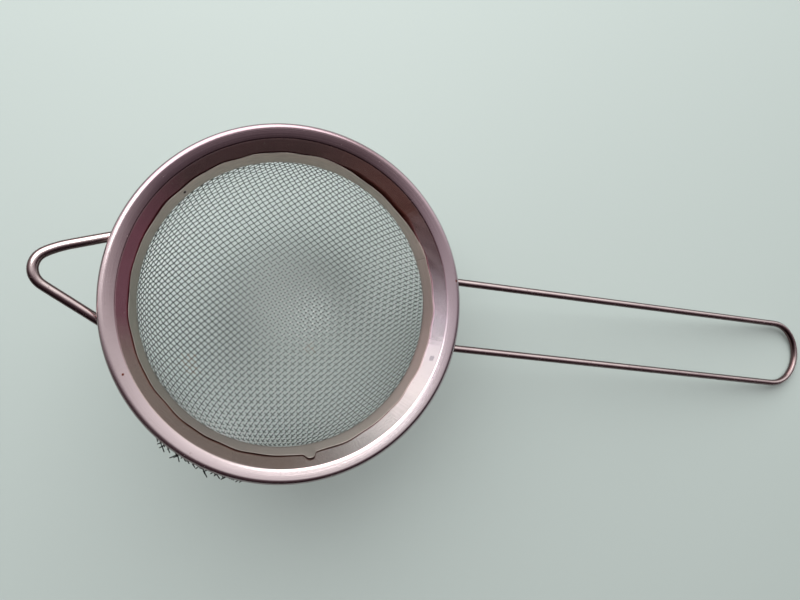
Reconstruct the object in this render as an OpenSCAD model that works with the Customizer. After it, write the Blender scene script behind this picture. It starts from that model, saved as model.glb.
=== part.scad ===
// Tea strainer: a pressed rim ring holds a woven wire bowl between itself and a backing ring,
// a thin strip lines the throat, and two bent wires, the handle and the rest, are welded below.
// Local frame: rim centre at the origin, bowl axis along Z, handle along +X.
// The finished strainer stands as it rests on a table, on its bowl and the end of its handle.

/* [Rim ring] */
// Outside diameter over the rolled bead
rim_d = 80; // [78:0.5:82]
// Diameter of the rolled bead
bead_d = 2.2; // [2:0.1:2.4]
// Thickness of the pressed sheet
sheet_t = 0.4; // [0.3:0.05:0.45]
// Width of the brim inside the bead
brim_w = 2; // [1.8:0.1:2.2]
// Fall of the brim from the bead to the funnel
brim_fall = 0.5; // [0.3:0.1:0.7]
// Inside diameter of the funnel at its throat
throat_d = 66.8; // [66.6:0.1:67]
// Depth of the throat below the middle of the bead
throat_depth = 5.8; // [5.6:0.1:6]

/* [Throat band] */
// Thickness of the strip that lines the throat
band_t = 0.35; // [0.25:0.05:0.4]
// Inside diameter of the strip
band_d = 66; // [65.9:0.1:66.1]
// Height of the strip's upper edge above the throat
band_rise = 2.4; // [2:0.1:3]
// Depth of the strip's lower edge below the throat
band_fall = 0.7; // [0.5:0.1:0.9]

/* [Wire cloth bowl] */
// Thickness of the woven cloth, two wires deep
cloth_t = 0.5; // [0.4:0.05:0.5]
// Outside diameter of the bowl below the throat
bowl_d = 68; // [67.9:0.1:68.2]
// Depth of the bowl's outside below the middle of the bead
bowl_depth = 35.4; // [34.5:0.1:36]
// Radius of the bowl's shallow bottom
bottom_r = 57; // [56:0.5:60]
// Radius of the bend from bottom to wall
knuckle_r = 27; // [26:0.5:28]

/* [Backing ring] */
// Thickness of the ring that backs the cloth
backing_t = 0.5; // [0.4:0.05:0.6]

/* [Handle] */
// Diameter of the handle's wire
handle_wire_d = 1.8; // [1.6:0.1:2]
// Distance from the rim's centre to the end of the handle's centre line
handle_reach = 157.2; // [150:0.1:165]
// Spacing of the two arms where they cross the bead
handle_root_gap = 16.4; // [14:0.1:18]
// Spacing of the two arms at the far end
handle_end_gap = 18.2; // [18.2:0.1:22]
// Bend radius of the two far corners
handle_corner_r = 9; // [6:0.1:9]
// Sideways offset of the handle from the rim's centre
handle_shift = 1.5; // [-2:0.1:2]

/* [Rest] */
// Diameter of the rest's wire
rest_wire_d = 2.1; // [1.9:0.1:2.2]
// Distance from the rim's centre to the tip, along the rest
rest_reach = 51.8; // [51:0.1:54]
// Sideways place of the bowed arm where it crosses the bead
rest_root_y = 9.2; // [8.8:0.1:9.6]
// Angle between the bowed arm and the rest's middle line
rest_bowed_angle = 21.5; // [20:0.5:23]
// Angle between the straight arm and the rest's middle line
rest_straight_angle = 28.5; // [27:0.5:30]
// Turn of the long bow in the bowed arm
rest_bow = 14.5; // [12:0.5:17]
// Radius of that bow
rest_bow_r = 15; // [13:0.5:17]
// Radius of the rest's tip
rest_tip_r = 3.8; // [3.5:0.1:4.1]
// Upward lean of the rest out of the rim's plane
rest_lift = 15; // [10:1:18]

/* [Welds] */
// How far the collar round a wire's end stands out from the wire
weld_lip = 0.35; // [0.3:0.05:0.4]

/* [Hidden] */
turned_fn = 180; // facets of a turned shape in the preview
wire_fn = 32; // facets round a wire
weld_fn = 48; // facets round a weld
arc_step = 6; // degrees between the points of a bend
bowl_step = 3; // degrees between the points of the bowl's arcs
clear = 0.03; // gap left between neighbours that only touch
bend_swell = 0.04; // a wire thickens this much in a bend, so a straight ends in a clean step
bend_lap = 0.2; // how far a straight reaches into the bend at its end

rim_r = rim_d / 2;
bead_r = bead_d / 2;
bead_x = rim_r - bead_r;
curl_r = bead_r - sheet_t / 2; // middle of the sheet round the bead
curl_start = -170; // the curl's cut edge, inside and below
curl_rise = 90 + atan2(brim_fall, brim_w);
brim_corner_r = 0.8;

// Middle line of the pressed sheet: top of the bead, brim corner, throat
bead_top = [bead_x + curl_r * cos(curl_rise), curl_r * sin(curl_rise)];
brim_corner = bead_top + [-brim_w, -brim_fall];
cone_foot = [throat_d / 2, -throat_depth];
funnel_angle = atan2(brim_corner[1] - cone_foot[1], brim_corner[0] - cone_foot[0]);
funnel_foot = cone_foot + sheet_t / 2 * [sin(funnel_angle), 0];

// The bowl's two arcs, of its middle surface
bowl_r = (bowl_d - cloth_t) / 2;
bottom_mid_r = bottom_r - cloth_t / 2;
knuckle_mid_r = knuckle_r - cloth_t / 2;
bottom_centre_z = bottom_r - bowl_depth;
knuckle_x = bowl_r - knuckle_mid_r;
knuckle_z = bottom_centre_z - sqrt(pow(bottom_r - knuckle_r, 2) - knuckle_x * knuckle_x);
bottom_half_angle = asin(knuckle_x / (bottom_r - knuckle_r));

// The stance: the handle's end and the bowl's bottom touch the table together
handle_r = handle_wire_d / 2;
handle_drop = bead_r + handle_r + clear;
stance_a = bottom_centre_z + handle_drop;
stance_span = norm([handle_reach, stance_a]);
handle_end_r = handle_r + bend_swell / 2;
tilt = atan2(handle_reach, stance_a) - acos((bottom_r - handle_end_r) / stance_span);
rim_height = bottom_r - bottom_centre_z * cos(tilt);

// The rest's plane leans up about the line below the bead
rest_r = rest_wire_d / 2;
rest_drop = (bead_r + rest_r + clear) / cos(rest_lift);
rest_turned = rest_bowed_angle + rest_bow;
rest_tip_turn = 180 - rest_turned - rest_straight_angle;
rest_link = 0.3; // short straight between the bow and the tip
rest_out = rest_reach - bead_x;
rest_run = (rest_out - rest_bow_r * (sin(rest_turned) - sin(rest_bowed_angle))
            - rest_link * cos(rest_turned) - rest_tip_r * (1 - sin(rest_turned))) / cos(rest_bowed_angle);

// Ends of the strainer along the table, from below the rim's centre
handle_end_x = handle_reach * cos(tilt) - handle_drop * sin(tilt) + handle_end_r;
rest_end_x = -(bead_x + rest_out * cos(rest_lift)) * cos(tilt)
             + (rest_out * sin(rest_lift) - rest_drop) * sin(tilt) - rest_r - bend_swell / 2;
middle_x = (handle_end_x + rest_end_x) / 2;

// Outside of the backing ring, where the wires' ends stop
backing_offset = sheet_t / 2 + cloth_t + backing_t / 2;
backing_top_z = -0.9;
backing_foot_z = -6;
weld_bite = 0.25; // how deep a collar reaches into the backing ring
root_inset = 6; // how far the wires run in from the bead before they are coped

function unit(v) = v / norm(v);
function left(v) = [-v[1], v[0]];
function heading(line, i) = unit(line[i + 1] - line[i]);
function reversed(list) = [for (i = [len(list) - 1 : -1 : 0]) list[i]];

// Points along an arc, from one angle to another
function arc(centre, r, from, to, step = arc_step) =
    let (n = ceil(abs(to - from) / step))
    [for (i = [0 : n]) centre + r * [cos(from + (to - from) * i / n), sin(from + (to - from) * i / n)]];

// The corner b between a and c, rounded to radius r
function rounded(a, b, c, r) =
    let (u = unit(a - b), w = unit(c - b), half = acos(u * w) / 2,
         centre = b + unit(u + w) * r / sin(half),
         p = b + u * r / tan(half) - centre, q = b + w * r / tan(half) - centre,
         from = atan2(p[1], p[0]), turn = atan2(p[0] * q[1] - p[1] * q[0], p * q))
    arc(centre, r, from, from + turn);

// A line moved sideways, to its left for a positive distance
function beside(line, d) =
    [for (i = [0 : len(line) - 1])
        let (before = heading(line, max(i - 1, 0)), after = heading(line, min(i, len(line) - 2)),
             mitre = left(unit(before + after)))
        line[i] + mitre * d / (mitre * left(after))];

// Outline of a sheet of thickness t along its middle line
function sheet(line, t) = concat(beside(line, t / 2), reversed(beside(line, -t / 2)));

// Point on the line through a and b at radius x, or at height z
function at_x(a, b, x) = a + (b - a) * (x - a[0]) / (b[0] - a[0]);
function at_z(a, b, z) = a + (b - a) * (z - a[1]) / (b[1] - a[1]);

funnel_line = concat(arc([bead_x, 0], curl_r, curl_start, curl_rise),
                     rounded(bead_top, brim_corner, funnel_foot, brim_corner_r), [funnel_foot]);

// Cloth: from inside the bead, under the brim and the funnel, to the top of the bowl's wall
cloth_under = beside([bead_top, brim_corner, funnel_foot], (sheet_t + cloth_t) / 2);
cloth_turn = at_x(cloth_under[1], cloth_under[2], bowl_r);
cloth_corner_r = 0.6;
cloth_flange = concat([cloth_under[0]],
                      rounded(cloth_under[0], cloth_under[1], cloth_turn, brim_corner_r),
                      rounded(cloth_under[1], cloth_turn, [bowl_r, knuckle_z], cloth_corner_r),
                      [[bowl_r, knuckle_z]]);

function cloth_line(d) = concat(
    beside(cloth_flange, -d),
    arc([knuckle_x, knuckle_z], knuckle_mid_r - d, 0, bottom_half_angle - 90, bowl_step),
    arc([0, bottom_centre_z], bottom_mid_r - d, bottom_half_angle - 90, -90, bowl_step));

// Throat band: up the funnel's inside from a short upright lip
band_mid_r = (band_d + band_t) / 2;
band_side = beside([brim_corner, funnel_foot], -(sheet_t + band_t) / 2 - clear);
band_turn = at_x(band_side[0], band_side[1], band_mid_r);
band_line = concat([at_z(band_side[0], band_side[1], band_rise - throat_depth)],
                   rounded(band_side[0], band_turn, band_turn - [0, band_fall], cloth_corner_r),
                   [[band_mid_r, -throat_depth - band_fall]]);

backing_side = beside([brim_corner, funnel_foot], backing_offset);
backing_line = [at_z(backing_side[0], backing_side[1], backing_top_z),
                at_z(backing_side[0], backing_side[1], backing_foot_z)];

module turned(outline) {
    rotate_extrude($fn = turned_fn) polygon(outline);
}

// A wire bent in one plane: each step is a straight length, then a bend radius and a turn to the left
module bent_wire(d, steps, i = 0) {
    if (i < len(steps)) {
        length = steps[i][0];
        r = steps[i][1];
        turn = steps[i][2];
        translate([-bend_lap, 0, 0]) rotate([0, 90, 0])
            cylinder(d = d, h = length + 2 * bend_lap, $fn = wire_fn);
        translate([length, 0, 0]) {
            if (turn > 0)
                translate([0, r, 0]) rotate([0, 0, -90])
                    rotate_extrude(angle = turn, $fn = turned_fn)
                        translate([r, 0]) circle(d = d + bend_swell, $fn = wire_fn);
            translate([r * sin(turn), r * (1 - cos(turn)), 0]) rotate([0, 0, turn])
                bent_wire(d, steps, i + 1);
        }
    }
}

// Everything inside the backing ring's outer face, which the wires' ends are coped to
module backing_core() {
    outer = beside(backing_line, backing_t / 2 + clear);
    turned([[0, outer[1][1]], outer[1], outer[0], [0, outer[0][1]]]);
}

handle_splay = atan2((handle_end_gap - handle_root_gap) / 2, handle_reach - handle_corner_r - bead_x);
handle_flat = handle_end_gap - 2 * handle_corner_r;
handle_bend_x = handle_reach - handle_corner_r * (1 + sin(handle_splay));
handle_root_x = bead_x - root_inset;
handle_arm = (handle_bend_x - handle_root_x) / cos(handle_splay);
handle_root_y = handle_flat / 2 + handle_corner_r * cos(handle_splay) - handle_arm * sin(handle_splay);

module handle_loop() {
    translate([handle_root_x, handle_shift - handle_root_y, -handle_drop]) rotate([0, 0, -handle_splay])
        bent_wire(handle_wire_d, [[handle_arm, handle_corner_r, 90 + handle_splay],
                                  [handle_flat, handle_corner_r, 90 + handle_splay],
                                  [handle_arm, 0, 0]]);
}

rest_inner_run = root_inset / cos(rest_bowed_angle);
rest_foot_run = (rest_out - rest_tip_r * (1 - sin(rest_straight_angle)) + root_inset)
                / cos(rest_straight_angle);
rest_foot_y = rest_root_y - rest_run * sin(rest_bowed_angle)
              - rest_bow_r * (cos(rest_bowed_angle) - cos(rest_turned)) - rest_link * sin(rest_turned)
              - rest_tip_r * (cos(rest_turned) + cos(rest_straight_angle))
              - (rest_foot_run * cos(rest_straight_angle) - root_inset) * tan(rest_straight_angle);

module rest_loop() {
    translate([-bead_x, 0, -rest_drop]) rotate([0, rest_lift, 0])
        translate([root_inset, rest_root_y + root_inset * tan(rest_bowed_angle), 0])
            rotate([0, 0, 180 + rest_bowed_angle])
                bent_wire(rest_wire_d, [[rest_run + rest_inner_run, rest_bow_r, rest_bow],
                                        [rest_link, rest_tip_r, rest_tip_turn],
                                        [rest_foot_run, 0, 0]]);
}

// How far out the point of a ring of radius r is that lies y to the side
function across(r, y) = sqrt(r * r - y * y);
function foot_r(z) = at_z(backing_line[0], backing_line[1], z)[0] + backing_t / 2 / sin(funnel_angle);

// The round collar of weld on a wire's end, in the arm's frame with +X outwards along the wire, the
// bead above the origin and the backing ring's face at -foot
module end_weld(wire_r, foot) {
    collar_r = wire_r + weld_lip;
    translate([(collar_r - weld_bite) / sin(funnel_angle) - foot, 0, 0]) rotate([0, 90, 0])
        rotate_extrude($fn = weld_fn) intersection() {
            circle(r = collar_r, $fn = weld_fn);
            translate([wire_r, -collar_r]) square([weld_lip, 2 * collar_r]);
        }
}

// Stands the strainer on its bowl and its handle's end, centred on the origin
module stand() {
    translate([-middle_x, 0, rim_height]) rotate([0, tilt, 0]) children();
}

module rim_ring() {
    color("#b9a3a8") stand() turned(sheet(funnel_line, sheet_t));
}

module throat_band() {
    color("#85847a") stand() turned(sheet(band_line, band_t));
}

module mesh_bowl() {
    color("#5f6462") stand() turned(concat(cloth_line(-cloth_t / 2), reversed(cloth_line(cloth_t / 2))));
}

module backing_ring() {
    color("#9c9294") stand() turned(sheet(backing_line, backing_t));
}

module handle_wire() {
    color("#a08d90") stand() difference() {
        handle_loop();
        backing_core();
    }
}

module rest_wire() {
    color("#a08d90") stand() difference() {
        rest_loop();
        backing_core();
    }
}

module handle_welds() {
    color("#7d7073") stand() for (side = [-1, 1]) {
        y = handle_shift + side * handle_root_gap / 2;
        translate([across(bead_x, y), y, -handle_drop]) rotate([0, 0, side * handle_splay])
            end_weld(handle_r, across(bead_x, y) - across(foot_r(-handle_drop), y));
    }
}

module rest_weld(y, angle) {
    inset = bead_x - across(bead_x, y);
    translate([-bead_x, 0, -rest_drop]) rotate([0, rest_lift, 0])
        translate([inset, y - inset * tan(angle), 0]) rotate([0, 0, 180 - angle])
            end_weld(rest_r, (across(bead_x, y) - across(foot_r(-rest_drop), y)) / cos(angle));
}

module rest_welds() {
    color("#7d7073") stand() {
        rest_weld(rest_root_y, -rest_bowed_angle);
        rest_weld(rest_foot_y, rest_straight_angle);
    }
}

rim_ring();
throat_band();
mesh_bowl();
backing_ring();
handle_wire();
rest_wire();
handle_welds();
rest_welds();
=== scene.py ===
import math

import bpy
import numpy as np
from mathutils import Matrix, Vector


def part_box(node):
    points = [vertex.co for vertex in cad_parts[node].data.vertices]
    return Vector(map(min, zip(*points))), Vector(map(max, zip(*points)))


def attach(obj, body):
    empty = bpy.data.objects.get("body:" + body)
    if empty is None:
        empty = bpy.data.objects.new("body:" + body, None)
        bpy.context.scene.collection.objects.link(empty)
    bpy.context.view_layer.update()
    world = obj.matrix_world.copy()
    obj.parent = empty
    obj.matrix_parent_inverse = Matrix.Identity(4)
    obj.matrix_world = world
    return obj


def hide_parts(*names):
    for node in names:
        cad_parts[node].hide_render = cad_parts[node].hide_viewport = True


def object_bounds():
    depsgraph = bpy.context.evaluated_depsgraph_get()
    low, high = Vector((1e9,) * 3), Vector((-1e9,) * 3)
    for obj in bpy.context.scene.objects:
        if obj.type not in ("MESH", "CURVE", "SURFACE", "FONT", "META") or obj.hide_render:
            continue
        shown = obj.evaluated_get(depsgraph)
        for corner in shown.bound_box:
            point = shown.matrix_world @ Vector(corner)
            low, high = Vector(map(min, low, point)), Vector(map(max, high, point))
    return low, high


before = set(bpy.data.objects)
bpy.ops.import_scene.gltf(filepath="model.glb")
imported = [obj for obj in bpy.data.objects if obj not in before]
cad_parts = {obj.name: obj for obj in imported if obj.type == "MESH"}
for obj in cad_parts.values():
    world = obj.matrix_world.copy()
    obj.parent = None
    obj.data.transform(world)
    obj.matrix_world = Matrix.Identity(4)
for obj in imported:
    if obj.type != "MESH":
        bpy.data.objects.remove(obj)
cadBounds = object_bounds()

print("frame loaded:", ", ".join(sorted(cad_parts)))

# Sizes are in millimetres in the strainer's own frame: rim centre at the origin, bowl axis along Z,
# handle along +X. seat() leans the strainer onto the table and turns millimetres into metres.
strainer = {
    "tilt": 12.1088,        # lean of the bowl's axis, degrees
    "rimRadius": 40.0,
    "beadRadius": 1.1,      # outside of the rolled bead
    "sheet": 0.4,           # pressed sheet
    "cloth": 0.5,           # woven cloth, two wires
    "clear": 0.03,
}

tilt = math.radians(strainer["tilt"])
beadX = strainer["rimRadius"] - strainer["beadRadius"]
ringLow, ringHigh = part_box("rim_ring")
rimCentre = np.array([
    (ringLow.x + ringHigh.x) / 2, 0.0,
    ringHigh.z - (beadX * math.sin(tilt) + strainer["beadRadius"]) / 1000])


def turnRow(p):
    # Directions turned about Y by the tilt: x cos + z sin, y, z cos - x sin
    x, y, z = p[..., 0], p[..., 1], p[..., 2]
    c, s = math.cos(tilt), math.sin(tilt)
    return np.stack([x * c + z * s, y, z * c - x * s], -1)


def seat(p):
    return turnRow(p) / 1000 + rimCentre


def unit(v):
    return v / np.maximum(np.linalg.norm(v, axis=-1, keepdims=True), 1e-12)


def bent(centre, radius, start, end, count):
    # Circle arc: centre + radius (cos a, sin a), a from start to end in degrees
    a = np.radians(np.linspace(start, end, count))
    return np.stack([centre[0] + radius * np.cos(a), centre[1] + radius * np.sin(a)], -1)


def rounded(a, b, c, radius, count=9):
    # The corner b between a and c as an arc that touches both sides
    a, b, c = (np.array(p, float) for p in (a, b, c))
    u, w = unit(a - b), unit(c - b)
    half = math.acos(float(u @ w)) / 2
    centre = b + unit(u + w) * radius / math.sin(half)
    p = b + u * radius / math.tan(half) - centre
    q = b + w * radius / math.tan(half) - centre
    start = math.atan2(p[1], p[0])
    turn = math.atan2(p[0] * q[1] - p[1] * q[0], p @ q)
    return bent(centre, radius, math.degrees(start), math.degrees(start + turn), count)


def resampled(line, step):
    # Points at even steps of length along a line, straight between its points
    length = np.concatenate([[0], np.cumsum(np.linalg.norm(np.diff(line, axis=0), axis=1))])
    at = np.linspace(0, length[-1], max(2, int(round(length[-1] / step)) + 1))
    return np.stack([np.interp(at, length, line[:, k]) for k in range(line.shape[1])], -1)


def outline(middle, thickness, rim=3):
    # Both faces of a sheet and its two half-round cut edges, as one closed loop, left face first
    t = unit(np.gradient(middle, axis=0))
    left = np.stack([-t[:, 1], t[:, 0]], -1)
    a = np.radians(np.linspace(90, -90, rim + 2)[1:-1])[:, None]
    half = thickness / 2
    tail = middle[-1] + half * (np.sin(a) * left[-1] + np.cos(a) * t[-1])
    head = middle[0] - half * (np.sin(a) * left[0] + np.cos(a) * t[0])
    return np.concatenate([middle + half * left, tail, (middle - half * left)[::-1], head])


def buildMesh(name, points, faces, marks=None, uv=None):
    # faces is a list of index arrays, one row per face, each array with its own number of corners
    mesh = bpy.data.meshes.new(name)
    loops = np.concatenate([f.ravel() for f in faces]).astype(np.int32)
    sizes = np.concatenate([np.full(len(f), f.shape[1]) for f in faces])
    starts = np.concatenate([[0], np.cumsum(sizes)[:-1]]).astype(np.int32)
    mesh.vertices.add(len(points))
    mesh.vertices.foreach_set("co", np.ascontiguousarray(points, np.float32).ravel())
    mesh.loops.add(len(loops))
    mesh.loops.foreach_set("vertex_index", loops)
    mesh.polygons.add(len(starts))
    mesh.polygons.foreach_set("loop_start", starts)
    mesh.update(calc_edges=True)
    mesh.polygons.foreach_set("use_smooth", np.ones(len(starts), bool))
    for key, values in (marks or {}).items():
        mesh.attributes.new(key, "FLOAT", "POINT").data.foreach_set(
            "value", np.ascontiguousarray(values, np.float32).ravel())
    if uv is not None:
        layer = mesh.uv_layers.new(name="UVMap")
        corner = np.concatenate([f.ravel() for f in uv["faces"]])
        layer.data.foreach_set("uv", np.ascontiguousarray(uv["points"][corner], np.float32).ravel())
    mesh.validate()
    piece = bpy.data.objects.new(name, mesh)
    bpy.context.scene.collection.objects.link(piece)
    return piece


def gridFaces(rows, columns, wrapRows, wrapColumns):
    # Four corners of every cell of a grid, the last row or column joined to the first where it wraps
    i = np.arange(rows if wrapRows else rows - 1)[:, None]
    j = np.arange(columns if wrapColumns else columns - 1)[None, :]
    at = lambda a, b: (a % rows) * columns + (b % columns)
    return np.stack([at(i, j), at(i, j + 1), at(i + 1, j + 1), at(i + 1, j)], -1).reshape(-1, 4)


def finishPiece(piece, material, node):
    piece.data.materials.append(material)
    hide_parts(node)
    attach(piece, "root")
    return piece


def turnedPiece(name, profile, steps, shape=None):
    # A closed profile (radius, height) turned round Z. shape(angle, profile) may move the points.
    angle = np.linspace(0, 2 * math.pi, steps, endpoint=False)[:, None]
    r, z = profile[None, :, 0] + 0 * angle, profile[None, :, 1] + 0 * angle
    if shape:
        r, z = shape(angle, r, z)
    points = np.stack([r * np.cos(angle), r * np.sin(angle), z], -1)
    faces = gridFaces(steps, len(profile), True, True)
    # UV in millimetres: round the ring at its mean radius, and along the profile
    run = np.concatenate([[0], np.cumsum(np.linalg.norm(np.diff(profile, axis=0), axis=1))])
    close = run[-1] + np.linalg.norm(profile[0] - profile[-1])
    u = np.linspace(0, 2 * math.pi * profile[:, 0].mean(), steps + 1)
    v = np.append(run, close)
    uvPoints = np.stack(np.broadcast_arrays(u[:, None], v[None, :]), -1).reshape(-1, 2)
    columns = len(profile) + 1
    i, j = np.arange(steps)[:, None], np.arange(len(profile))[None, :]
    uvFaces = np.stack([i * columns + j, i * columns + j + 1,
                        (i + 1) * columns + j + 1, (i + 1) * columns + j], -1).reshape(-1, 4)
    marks = {"reach": np.broadcast_to(r, points.shape[:2])}     # radius, millimetres
    return buildMesh(name, seat(points).reshape(-1, 3), [faces], marks,
                     {"points": uvPoints, "faces": [uvFaces]})


def tubes(path, up, radius, sides, seen=None, lift=0.0):
    # A round section carried along many paths at once. path is (points along, wires, 3), up a normal
    # of the same shape, and seen marks the points that are made. Both ends of each run are closed.
    rows, columns = path.shape[:2]
    tangent = unit(np.gradient(path, axis=0))
    across = unit(np.cross(tangent, up))
    over = np.cross(across, tangent)
    a = np.linspace(0, 2 * math.pi, sides, endpoint=False)[:, None]
    ring = (path[:, :, None] + np.broadcast_to(radius, (rows, columns))[..., None, None]
            * (np.cos(a) * over[:, :, None] + np.sin(a) * across[:, :, None]))
    seen = np.ones((rows, columns), bool) if seen is None else seen
    index = np.arange(rows)[:, None] * columns + np.arange(columns)[None, :]
    both = seen[:-1] & seen[1:]
    lower, upper = index[:-1][both][:, None] * sides, index[1:][both][:, None] * sides
    k, k2 = np.arange(sides), (np.arange(sides) + 1) % sides
    quads = np.stack([lower + k, lower + k2, upper + k2, upper + k], -1).reshape(-1, 4)
    none = np.zeros((1, columns), bool)
    before, after = np.concatenate([none, both]), np.concatenate([both, none])
    starts, stops = index[after & ~before], index[before & ~after]
    caps = np.concatenate([starts[:, None] * sides + k[::-1], stops[:, None] * sides + k])
    used, corner = np.unique(np.concatenate([quads.ravel(), caps.ravel()]), return_inverse=True)
    corner = corner.ravel()
    faces = [corner[:quads.size].reshape(-1, 4), corner[quads.size:].reshape(-1, sides)]
    run = np.concatenate([np.zeros((1, columns)),
                          np.cumsum(np.linalg.norm(np.diff(path, axis=0), axis=-1), axis=0)])
    marks = {"along": np.repeat(run[..., None], sides, -1).ravel()[used],
             "round": np.broadcast_to(a[:, 0], ring.shape[:3]).ravel()[used],
             "side": np.broadcast_to(np.abs(np.sin(a[:, 0])), ring.shape[:3]).ravel()[used],
             "lift": np.repeat(np.broadcast_to(lift, (rows, columns))[..., None], sides, -1).ravel()[used]}
    return seat(ring.reshape(-1, 3)[used]), faces, marks


def sweptPiece(name, path, radius, sides, up):
    # One round section along one path. radius is one number or one for each point.
    radius = np.broadcast_to(radius, len(path))[:, None]
    return buildMesh(name, *tubes(path[:, None], np.broadcast_to(up, path.shape)[:, None], radius, sides))


class Signal:
    # A shader socket. Sums, differences, products and quotients of it add Math nodes.
    def __init__(self, recipe, socket):
        self.recipe, self.socket = recipe, socket

    def __add__(self, other):
        return self.recipe.math("ADD", self, other)

    def __radd__(self, other):
        return self.recipe.math("ADD", other, self)

    def __sub__(self, other):
        return self.recipe.math("SUBTRACT", self, other)

    def __rsub__(self, other):
        return self.recipe.math("SUBTRACT", other, self)

    def __mul__(self, other):
        return self.recipe.math("MULTIPLY", self, other)

    def __rmul__(self, other):
        return self.recipe.math("MULTIPLY", other, self)

    def __truediv__(self, other):
        return self.recipe.math("DIVIDE", self, other)

    def between(self, low, high):
        # 0 at low, 1 at high, smooth in between
        return self.recipe.add("ShaderNodeMapRange", {"interpolation_type": "SMOOTHSTEP"},
                               {"Value": self, "From Min": low, "From Max": high})


class Recipe:
    # The nodes of one material, or of the world
    def __init__(self, owner):
        owner.use_nodes = True
        self.owner, self.tree = owner, owner.node_tree

    def add(self, kind, settings=None, sockets=None, output=0):
        node = self.tree.nodes.new(kind)
        for key, value in (settings or {}).items():
            if key == "stops":
                ramp = node.color_ramp.elements
                while len(ramp) < len(value):
                    ramp.new(0.5)
                for stop, (place, colour) in zip(ramp, value):
                    stop.position, stop.color = place, (*colour, 1)
            else:
                setattr(node, key, value)
        for key, value in (sockets or {}).items():
            self.join(node.inputs[key], value)
        return Signal(self, node.outputs[output])

    def join(self, socket, value):
        if isinstance(value, Signal):
            self.tree.links.new(value.socket, socket)
        elif hasattr(value, "__len__") and len(value) == 3 and socket.type == "RGBA":
            socket.default_value = (*value, 1)
        else:
            socket.default_value = value

    def math(self, operation, *terms):
        return self.add("ShaderNodeMath", {"operation": operation}, dict(enumerate(terms)))

    def blend(self, mask, first, second):
        # Colours mixed by a mask: first where it is 0, second where it is 1
        return self.add("ShaderNodeMix", {"data_type": "RGBA"}, {0: mask, 6: first, 7: second}, 2)

    def noise(self, vector, scale, detail=2.0, roughness=0.5):
        return self.add("ShaderNodeTexNoise", {}, {
            "Vector": vector, "Scale": scale, "Detail": detail, "Roughness": roughness})

    def stretch(self, vector, scale, turn=(0, 0, 0)):
        return self.add("ShaderNodeMapping", {}, {"Vector": vector, "Scale": scale, "Rotation": turn})

    def mark(self, name):
        return self.add("ShaderNodeAttribute", {"attribute_name": name}, output="Fac")

    def place(self, output="Object"):
        return self.add("ShaderNodeTexCoord", output=output)

    def finish(self, **sockets):
        shader = self.tree.nodes["Principled BSDF"]
        for key, value in sockets.items():
            self.join(shader.inputs[key.replace("_", " ")], value)
        return self.owner


def newMaterial(name):
    return Recipe(bpy.data.materials.new(name))


def ringSense(recipe, angle):
    # 1 on the side of the rim that faces this angle (degrees from the handle), 0 opposite
    place = recipe.add("ShaderNodeVectorMath", {"operation": "SUBTRACT"}, {
        0: recipe.place(), 1: tuple(rimCentre)})
    flat = recipe.add("ShaderNodeVectorMath", {"operation": "MULTIPLY"}, {0: place, 1: (1, 1, 0)})
    way = recipe.add("ShaderNodeVectorMath", {"operation": "NORMALIZE"}, {0: flat})
    a = math.radians(angle)
    dot = recipe.add("ShaderNodeVectorMath", {"operation": "DOT_PRODUCT"}, {
        0: way, 1: (math.cos(a), math.sin(a), 0)}, "Value")
    return dot * 0.5 + 0.5


def spot(recipe, centre, radius, raggedness=0.35):
    # A ragged spot round a point of the strainer's frame (millimetres), 1 inside and 0 outside
    c = seat(np.array(centre, float))
    away = recipe.add("ShaderNodeVectorMath", {"operation": "DISTANCE"}, {
        0: recipe.place(), 1: tuple(c)}, "Value")
    rough = recipe.noise(recipe.place(), 2500 / radius, 2)
    edge = away * 1000 / radius + (rough - 0.5) * raggedness * 4
    return 1 - edge.between(0.8, 1.1)


# Finish of the rim: tints at shares of a turn from the handle, sizes and places in millimetres. The funnel's
# and the brim's tints are painted reflections: dark on the far side, pale towards the near right.
steel = {
    "funnel": [(0.0, (0.95, 0.80, 0.90)), (0.07, (0.55, 0.36, 0.40)), (0.125, (0.25, 0.105, 0.095)),
               (0.25, (0.14, 0.075, 0.077)), (0.375, (0.17, 0.083, 0.09)), (0.45, (0.42, 0.14, 0.20)),
               (0.53, (0.46, 0.17, 0.235)), (0.58, (0.60, 0.42, 0.38)), (0.68, (0.46, 0.33, 0.30)),
               (0.76, (0.31, 0.22, 0.20)), (0.81, (0.42, 0.34, 0.335)), (0.86, (0.72, 0.62, 0.62)),
               (0.92, (0.96, 0.83, 0.83)), (0.96, (0.98, 0.86, 0.90)), (1.0, (0.95, 0.80, 0.90))],
    "brim": [(0.0, (0.66, 0.56, 0.61)), (0.12, (0.58, 0.46, 0.50)), (0.20, (0.34, 0.25, 0.27)),
             (0.40, (0.36, 0.27, 0.30)), (0.47, (0.66, 0.54, 0.56)), (0.56, (0.86, 0.75, 0.76)),
             (0.78, (0.84, 0.74, 0.75)), (0.88, (0.72, 0.64, 0.66)), (1.0, (0.66, 0.56, 0.61))],
    "funnelEdge": (36.3, 36.9),         # radii between which the funnel's tint ends
    "outerEdge": (39.5, 39.85),         # radii between which the bead's outer face gets painted shade
    "outerEdgeShade": (0.16, 0.085, 0.09),
    "highlightMatt": 0.45,                      # how far the palest part of the funnel is matt, a painted highlight
    "roughness": 0.20,
    "turnedLines": 0.5,
    "specks": 0.5,
    "speckTint": (0.25, 0.16, 0.16), "dustTint": (0.75, 0.66, 0.62),
    "blotch": ((34.6, -9.7, -1.4), 0.8), "blotchTint": (0.33, 0.30, 0.36),
    "rust": [((37.9, 9.6, 1.0), 0.3), ((-33.1, -18.4, 0.9), 0.25)], "rustTint": (0.30, 0.08, 0.05),
}


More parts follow.
